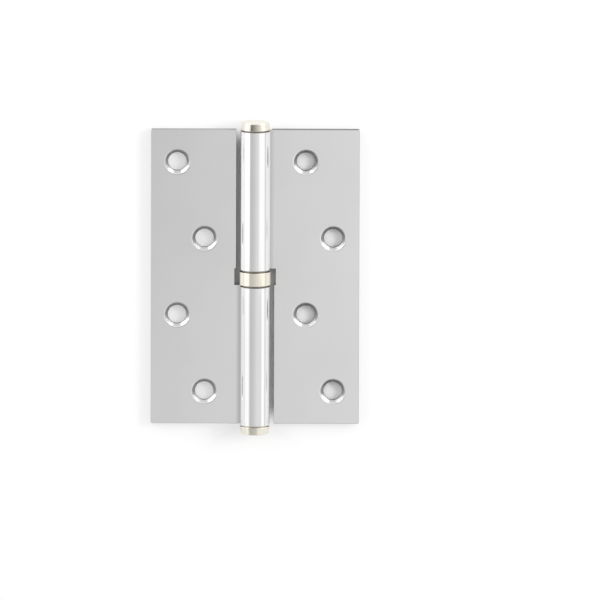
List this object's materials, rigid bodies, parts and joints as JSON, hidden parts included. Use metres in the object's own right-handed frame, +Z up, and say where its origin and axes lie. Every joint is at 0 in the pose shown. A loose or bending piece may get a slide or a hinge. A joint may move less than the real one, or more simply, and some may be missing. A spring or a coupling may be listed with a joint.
{
  "type": "lift-off mortise hinge",
  "caption": "Lift-off mortise hinge: flat leaves with staggered countersunk screw holes, rolled knuckles on a pin, a ball-bearing ring between the knuckles and pressed-in end caps.",
  "frame": {"origin": "on the pin axis, at mid height, in the middle of the bearing ring", "axes": "+Z up along the pin, the way the door leaf lifts off; +X towards the door leaf, open flat; -Y out of the countersunk faces, +Y out of the backs that lie in the mortises"},
  "size_m": [0.07, 0.0106, 0.106],
  "materials": {
    "leaf_chrome": "satin chrome plate",
    "warm_nickel": "polished nickel plate",
    "pin_steel": "ground steel",
    "bearing_steel": "polished steel"
  },
  "bodies": {
    "frame_side": {"frame_leaf": "leaf_chrome", "hinge_pin": "pin_steel", "bottom_cap": "warm_nickel", "bearing_shell": "warm_nickel", "lower_race": "bearing_steel"},
    "bearing_top": {"upper_race": "bearing_steel"},
    "door_side": {"door_leaf": "leaf_chrome", "top_cap": "warm_nickel"},
    "ball_set": {"bearing_ball_01": "bearing_steel", "bearing_ball_02": "bearing_steel", "bearing_ball_03": "bearing_steel", "bearing_ball_04": "bearing_steel", "bearing_ball_05": "bearing_steel", "bearing_ball_06": "bearing_steel", "bearing_ball_07": "bearing_steel", "bearing_ball_08": "bearing_steel", "bearing_ball_09": "bearing_steel", "bearing_ball_10": "bearing_steel"}
  },
  "joints": [
    {"name": "leaf_swing", "type": "hinge", "parent": "frame_side", "child": "bearing_top", "pos_m": [0, 0, 0], "axis": [0, 0, -1], "range_deg": [0, 180]},
    {"name": "lift_off", "type": "slide", "parent": "bearing_top", "child": "door_side", "axis": [0, 0, 1], "range_m": [0, 0.04]},
    {"name": "ball_orbit", "type": "hinge", "parent": "frame_side", "child": "ball_set", "pos_m": [0, 0, 0], "axis": [0, 0, -1], "range_deg": [0, 90]}
  ],
  "couplings": [
    {"joint": "ball_orbit", "follows": "leaf_swing", "ratio": 0.5}
  ]
}
